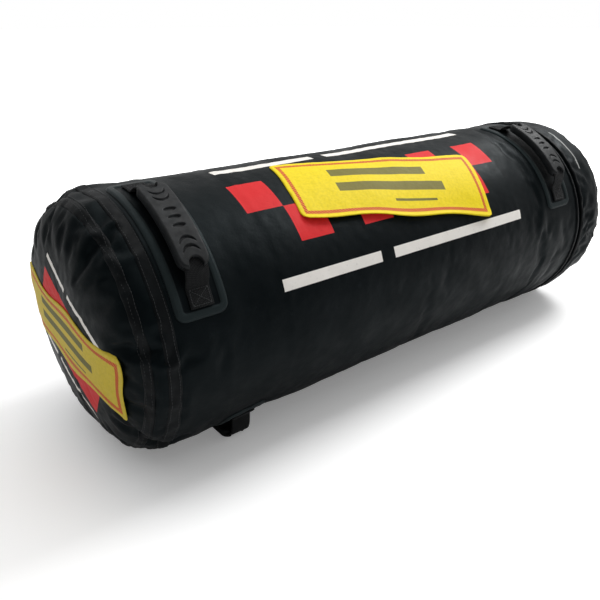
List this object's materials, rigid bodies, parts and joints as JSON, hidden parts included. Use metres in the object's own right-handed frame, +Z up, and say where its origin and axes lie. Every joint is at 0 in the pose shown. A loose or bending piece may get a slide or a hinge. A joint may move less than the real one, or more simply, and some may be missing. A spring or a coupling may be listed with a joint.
{
  "type": "fire blanket in carry bag",
  "caption": "Vehicle fire blanket rolled up in a round coated-fabric carry bag, with a zipped end lid, webbing carry handles with moulded grips, and plain labels.",
  "frame": {"origin": "on the ground plane, on the flat of the bag's belly below its axis, near the middle of its length", "axes": "+X along the bag from its closed end to its zipped lid, +Z up, -Y the front with the body label and the top handles"},
  "size_m": [1.0443, 0.3652, 0.371],
  "materials": {
    "tarpaulin": "black coated fabric, satin",
    "weld_tape": "dark grey coated tape, satin",
    "zip_tape": "black woven tape",
    "zip_coil": "black moulded coil",
    "zip_metal": "black enamel",
    "handle_patch": "black coated fabric, satin",
    "webbing": "black woven webbing",
    "grip_rubber": "black moulded, matt",
    "label": "yellow printed film with a red stitched border",
    "blanket_cloth": "grey woven glass fibre",
    "blanket_webbing": "red woven webbing"
  },
  "bodies": {
    "bag": {"tube_wall": "tarpaulin", "tube_lap_seam": "weld_tape", "closed_end_shoulder": "tarpaulin", "closed_end_disc": "tarpaulin", "shoulder_weld_tape": "weld_tape", "disc_weld_tape": "weld_tape", "mouth_hem": "tarpaulin", "mouth_binding": "weld_tape", "zip_tape_bag_side": "zip_tape", "zip_coil_bag_side": "zip_coil", "zip_stop_closed": "zip_metal", "zip_stop_open": "zip_metal", "hinge_fabric_bag_half": "tarpaulin", "top_handle_closed_end_patch": "handle_patch", "top_handle_lid_end_patch": "handle_patch", "belly_handle_closed_end_patch": "handle_patch", "belly_handle_lid_end_patch": "handle_patch", "body_label": "label", "end_label": "label", "blanket_roll": "blanket_cloth", "blanket_band_closed_end": "blanket_webbing", "blanket_band_lid_end": "blanket_webbing", "blanket_pull_loop_front": "blanket_webbing", "blanket_pull_loop_back": "blanket_webbing"},
    "lid": {"lid_wall": "tarpaulin", "lid_disc": "tarpaulin", "lid_weld_tape": "weld_tape", "lid_hem": "tarpaulin", "lid_binding": "weld_tape", "zip_tape_lid_side": "zip_tape", "zip_coil_lid_side": "zip_coil", "hinge_fabric_lid_half": "tarpaulin"},
    "slider": {"zip_slider": "zip_metal"},
    "puller": {"zip_puller": "zip_metal"},
    "top_handle_closed_end": {"top_handle_closed_end_strap": "webbing", "top_handle_closed_end_grip": "grip_rubber"},
    "top_handle_lid_end": {"top_handle_lid_end_strap": "webbing", "top_handle_lid_end_grip": "grip_rubber"},
    "belly_handle_closed_end": {"belly_handle_closed_end_strap": "webbing", "belly_handle_closed_end_grip": "grip_rubber"},
    "belly_handle_lid_end": {"belly_handle_lid_end_strap": "webbing", "belly_handle_lid_end_grip": "grip_rubber"}
  },
  "joints": [
    {"name": "lid_open", "type": "hinge", "parent": "bag", "child": "lid", "pos_m": [0.4014, 0.1829, 0.176], "axis": [0, 0, 1], "range_deg": [0, 130]},
    {"name": "zip_run", "type": "hinge", "parent": "bag", "child": "slider", "pos_m": [0.4014, 0, 0.176], "axis": [1, 0, 0], "range_deg": [0, 293]},
    {"name": "puller_flip", "type": "hinge", "parent": "slider", "child": "puller", "pos_m": [0.4014, 0.1481, 0.27402], "axis": [-1, 0, 0], "range_deg": [0, 150]},
    {"name": "top_handle_closed_end_swing", "type": "hinge", "parent": "bag", "child": "top_handle_closed_end", "pos_m": [-0.412, -0.09476, 0.31083], "axis": [0, 0.8181, 0.575], "range_deg": [-18, 18], "deforming": ["top_handle_closed_end_strap"]},
    {"name": "top_handle_lid_end_swing", "type": "hinge", "parent": "bag", "child": "top_handle_lid_end", "pos_m": [0.333, -0.09476, 0.31083], "axis": [0, 0.8181, 0.575], "range_deg": [-18, 18], "deforming": ["top_handle_lid_end_strap"]},
    {"name": "belly_handle_closed_end_swing", "type": "hinge", "parent": "bag", "child": "belly_handle_closed_end", "pos_m": [-0.338, -0.043, 0.022], "axis": [0, 1, 0], "range_deg": [-18, 18], "deforming": ["belly_handle_closed_end_strap"]},
    {"name": "belly_handle_lid_end_swing", "type": "hinge", "parent": "bag", "child": "belly_handle_lid_end", "pos_m": [0.259, 0.024, 0.022], "axis": [0, 1, 0], "range_deg": [-18, 18], "deforming": ["belly_handle_lid_end_strap"]}
  ],
  "couplings": [
    {"joint": "zip_run", "follows": "lid_open", "ratio": 2.2538}
  ]
}
